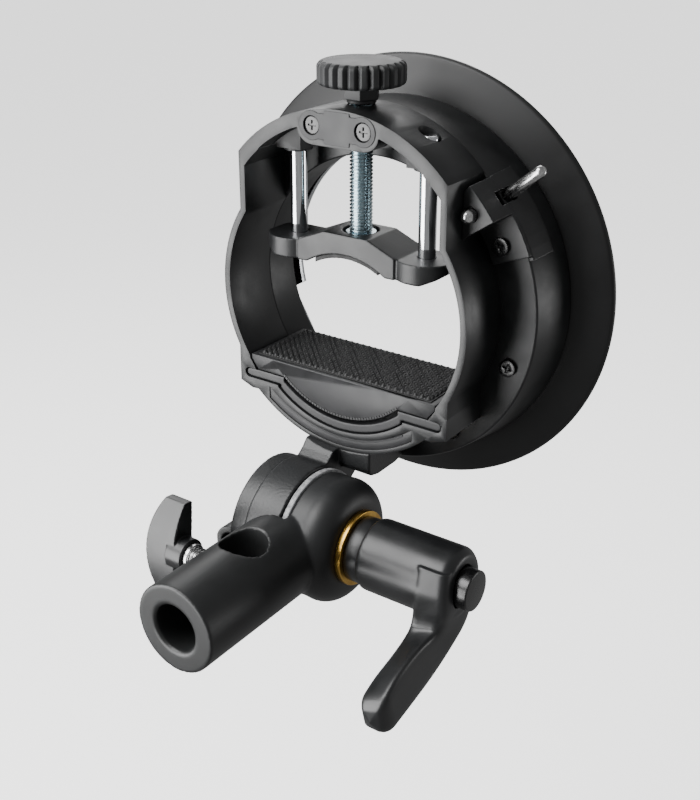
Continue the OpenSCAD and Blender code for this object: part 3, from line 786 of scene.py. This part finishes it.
class BRACKET_OT_head(bpy.types.Operator):
    """Castings of the tilt head and its washers"""

    bl_idname = "bracket.head"
    bl_label = "Tilt head"

    def execute(self, context):
        cast("tilt_arm", 0.42, 5, powder_coat, "head", "cast_black")
        cast("side_plate", 0.4, 5, powder_coat, "head", "cast_black")
        cast("socket_body", 0.52, 6, smooth_coat, "base", "cast_black")
        machined("tilt_bolt", 0.3, zinc_plate, "base", "zinc_steel")
        washer("friction_washer", 0.5, friction_disc, "friction_grey")
        washer("brass_washer", 0.3, turned_brass, "brass")
        return {"FINISHED"}


def washer(node, edge, maker, slot):
    """A turned washer on the tilt axis with rounded rims."""
    low, high = low_high(node)
    radius = (high[2] - low[2]) / 2
    section = [(CLEAR_R, low[0]), (radius, low[0]), (radius, high[0]), (CLEAR_R, high[0])]
    made = lathe(node + "_ring", rounded(section, edge), HUB, "x", True, 160)
    return dress(shaded(made, 50), maker, "base", slot, node)


class BRACKET_OT_lever(bpy.types.Operator):
    """Clamping lever with its core, spring and screw"""

    bl_idname = "bracket.lever"
    bl_label = "Lever"

    def execute(self, context):
        lever_handle()
        machined("lever_core", 0.3, lever_lacquer, "lever_nut", "lever_black")
        low, high = low_high("lever_screw")
        cap = [(0, CAP_X), (CAP_R, CAP_X), (CAP_R, high[0]), (0, high[0])]
        cap = rounded(cap, 0.5, closed=False)
        made = lathe("lever_cap", cap, HUB, "x", False, 96)
        dress(shaded(made, 50), black_oxide, "lever_nut", "black_screws", "lever_screw")
        low, high = low_high("lever_spring")
        length = 11.3
        made = coil("lever_coil", 5.4, 0.6, 6, high[0] - length, high[0], HUB, "x")
        dress(shaded(made), spring_wire, "lever_nut", "spring_steel", "lever_spring")
        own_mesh(made)
        return {"FINISHED"}


def smooth_path(points, count):
    """A Catmull-Rom curve through the points, at an even step of its parameter."""
    knots = np.asarray(points, float)
    knots = np.concatenate([2 * knots[:1] - knots[1:2], knots, 2 * knots[-1:] - knots[-2:-1]])
    t = np.linspace(0, len(points) - 1 - 1e-9, count)
    k = t.astype(int)
    u = (t - k)[:, None]
    a, b, c, d = (knots[k + i] for i in range(4))
    square, cube = 2 * a - 5 * b + 4 * c - d, 3 * b - a - 3 * c + d
    return 0.5 * (2 * b + (c - a) * u + square * u**2 + cube * u**3)


def lever_handle():
    """The lever: a turned hub fused with an arm. The arm's sections are given by four edges, each a
    smooth path of x, y and z; |cos|^n and |sin|^n spread a section between its edges, and its end
    closes round."""
    low, high = low_high("lever_handle")
    rows, segments, blunt = 110, 72, 0.34
    inner_front = smooth_path(
        [(49, -10.5, 9), (49, -13, 2), (48.8, -13, -5), (48.3, -12.4, -10.5), (48, -13.8, -14.8),
         (48, -21.6, -18.2), (48, -33, -21.1), (48, -41.2, -24.6)], rows)
    outer_front = smooth_path(
        [(61, -10.5, 9), (62.2, -12.6, 2), (62, -12, -5), (60.4, -11, -10.2), (59, -13, -12.4),
         (58.5, -22.6, -13), (58.5, -33.5, -15.6), (58.5, -41.6, -20.6)], rows)
    outer_back = smooth_path(
        [(61, 9.5, 8), (61.5, 11, 0), (61.2, 10, -9), (60.5, 6.6, -18), (59, -0.5, -25.6),
         (58.5, -11.5, -30.8), (58.5, -24, -33.8), (58.5, -38.6, -36.6)], rows)
    inner_back = outer_back * [0, 1, 1] + inner_front * [1, 0, 0]
    last = np.clip((np.linspace(0, 1, rows) - 0.95) / 0.05, 0, 1)
    close = np.sqrt(1 - last**2.2)[:, None, None]
    phi = np.linspace(0, TURN, segments, endpoint=False)
    across, along = (0.5 + 0.5 * np.sign(f(phi)) * np.abs(f(phi)) ** blunt for f in (np.cos, np.sin))
    weights = [(1 - across) * (1 - along), (1 - across) * along, across * along, across * (1 - along)]
    edges = (inner_front, outer_front, outer_back, inner_back)
    ring = sum(e[:, None, :] * w[None, :, None] for e, w in zip(edges, weights))
    middle = sum(edges)[:, None, :] / 4
    lean = last[:, None, None] * np.array([0, -2.2, -1.2])
    points = middle + (ring - middle) * close + lean + HUB * [0, 1, 0]
    ends = [np.repeat(points[i : i + 1].mean(1, keepdims=True), phi.size, 1) for i in (0, -1)]
    points = np.concatenate([ends[0], points, ends[1]]) * MM
    arm = mesh_object("arm", points, grid_faces(len(points), phi.size, False, True))
    start, end, floor = low[0], high[0], high[0] - POCKET_DEPTH
    section = [
        (0, start), (LEVER_HUB_R - 0.6, start), (LEVER_HUB_R, start + 1), (LEVER_HUB_R, end - 2.6),
        (LEVER_HUB_R - 2.2, end), (POCKET_R, end), (POCKET_R, floor), (0, floor),
    ]
    pocket = [(0, floor), (POCKET_R, floor), (POCKET_R, end + 5), (0, end + 5)]
    fuse(arm, lathe("hub", rounded(section, 1.2, closed=False), HUB, "x", False, 128), "UNION")
    fuse(arm, lathe("pocket", pocket, HUB, "x", False, 96), "DIFFERENCE")
    arm.name = "lever_casting"
    return dress(softened(arm, 0.38, 5), lever_lacquer, "lever", "lever_black", "lever_handle")


def fuse(made, tool, operation):
    """Joins a piece with another, or cuts it by it, and drops the other."""
    change = made.modifiers.new("fuse", "BOOLEAN")
    change.operation, change.object = operation, tool
    baked(made)
    bpy.data.objects.remove(tool)


class BRACKET_OT_wing(bpy.types.Operator):
    """Wing screw: thumb bar, threaded shank and brass tip"""

    bl_idname = "bracket.wing"
    bl_label = "Wing screw"

    def execute(self, context):
        sizes = context.scene.bracket_sizes
        cast("wing_grip", 0.28, 6, lever_lacquer, "wing", "lever_black")
        low, high = low_high("wing_thread")
        thread = screw_thread("wing_shank", SCREW_R, sizes.thread_pitch / MM, low[0], high[0], (0, 0, 0), "x")
        collar = rounded([(3.4, -24.4), (4.7, -24.4), (4.7, -22), (3.4, -22)], 0.5)
        made = joined("wing_screw", [thread, lathe("collar", collar, (0, 0, 0), "x", True, 64)])
        dress(shaded(made), turned_steel, "wing", "bright_steel", "wing_thread")
        machined("wing_tip", 0.4, turned_brass, "wing_shoe", "brass")
        return {"FINISHED"}


class BRACKET_OT_fasteners(bpy.types.Operator):
    """Screws that hold the covers, the rings and the pads"""

    bl_idname = "bracket.fasteners"
    bl_label = "Screws"

    def execute(self, context):
        for node in ("keeper_screws", "ring_screws", "lock_screw", "arm_screws", "carrier_screws"):
            machined(node, 0.25, black_oxide, "head", "black_screws")
        machined("rod_screws", 0.2, black_oxide, "jaw", "black_screws")
        machined("bayonet_screws", 0.2, turned_steel, "head", "bright_steel")
        return {"FINISHED"}


# ---- stage ---------------------------------------------------------------------------


class BRACKET_OT_stage(bpy.types.Operator):
    """Pale floor, soft studio light and the camera"""

    bl_idname = "bracket.stage"
    bl_label = "Stage"

    def execute(self, context):
        scene = context.scene
        corners = [(-1, -1), (1, -1), (1, 1), (-1, 1)]
        places = [(x * FLOOR_HALF, y * FLOOR_HALF, FLOOR_Z) for x, y in corners]
        floor = mesh_object("floor", places, [(0, 1, 2, 3)])
        floor.data.materials.append(finish(pale_floor))
        floor.visible_glossy = floor.visible_diffuse = False
        world = bpy.data.worlds.new("studio")
        world.use_nodes = True
        sky = world.node_tree.nodes["Background"].inputs
        sky["Color"].default_value = (*linear("ffffff"), 1)
        sky["Strength"].default_value = WORLD_STRENGTH
        scene.world = world
        for name, (place, size, power) in LIGHTS.items():
            soft_light(name, place, LIGHT_AIM, size, power)
        data = bpy.data.cameras.new("camera")
        data.lens, data.sensor_width, data.shift_y = CAMERA_LENS, SENSOR_WIDTH, CAMERA_SHIFT
        data.clip_start = 0.01
        camera = put("camera", data)
        camera.location = CAMERA_PLACE
        camera.rotation_euler = (math.radians(90 - CAMERA_DOWN), 0, math.radians(CAMERA_ROUND))
        scene.camera = camera
        return {"FINISHED"}


def soft_light(name, place, aim, size, power):
    """A square area light that looks at a point."""
    data = bpy.data.lights.new(name, "AREA")
    data.size, data.energy = size, power
    lamp = put(name, data)
    lamp.location = place
    lamp.rotation_euler = (aim - Vector(place)).to_track_quat("-Z", "Y").to_euler()
    return lamp


# ---- add-on ----------------------------------------------------------------------------


class BRACKET_PT_panel(bpy.types.Panel):
    """Lists the pieces of the bracket and its sizes"""

    bl_label = "Flash bracket"
    bl_idname = "BRACKET_PT_panel"
    bl_space_type = "VIEW_3D"
    bl_region_type = "UI"
    bl_category = "Bracket"

    def draw(self, context):
        for group in (context.scene.bracket_sizes, context.scene.bracket_colours):
            for name in group.__annotations__:
                self.layout.prop(group, name)
        for piece in PIECES:
            self.layout.operator(piece.bl_idname)


PIECES = (
    BRACKET_OT_stage,
    BRACKET_OT_frame,
    BRACKET_OT_front,
    BRACKET_OT_pad,
    BRACKET_OT_clamp,
    BRACKET_OT_lock,
    BRACKET_OT_head,
    BRACKET_OT_lever,
    BRACKET_OT_wing,
    BRACKET_OT_fasteners,
)
CLASSES = (BracketSizes, BracketColours, *PIECES, BRACKET_PT_panel)


def register():
    for item in CLASSES:
        bpy.utils.register_class(item)
    bpy.types.Scene.bracket_sizes = bpy.props.PointerProperty(type=BracketSizes)
    bpy.types.Scene.bracket_colours = bpy.props.PointerProperty(type=BracketColours)


def unregister():
    del bpy.types.Scene.bracket_colours
    del bpy.types.Scene.bracket_sizes
    for item in reversed(CLASSES):
        bpy.utils.unregister_class(item)


def main():
    """Builds the stage and every piece."""
    register()
    for name in BracketColours.__annotations__:
        setattr(COLOURS, name, getattr(bpy.context.scene.bracket_colours, name))
    for piece in PIECES:
        getattr(bpy.ops.bracket, piece.bl_idname.split(".")[1])()


if __name__ == "__main__":
    main()
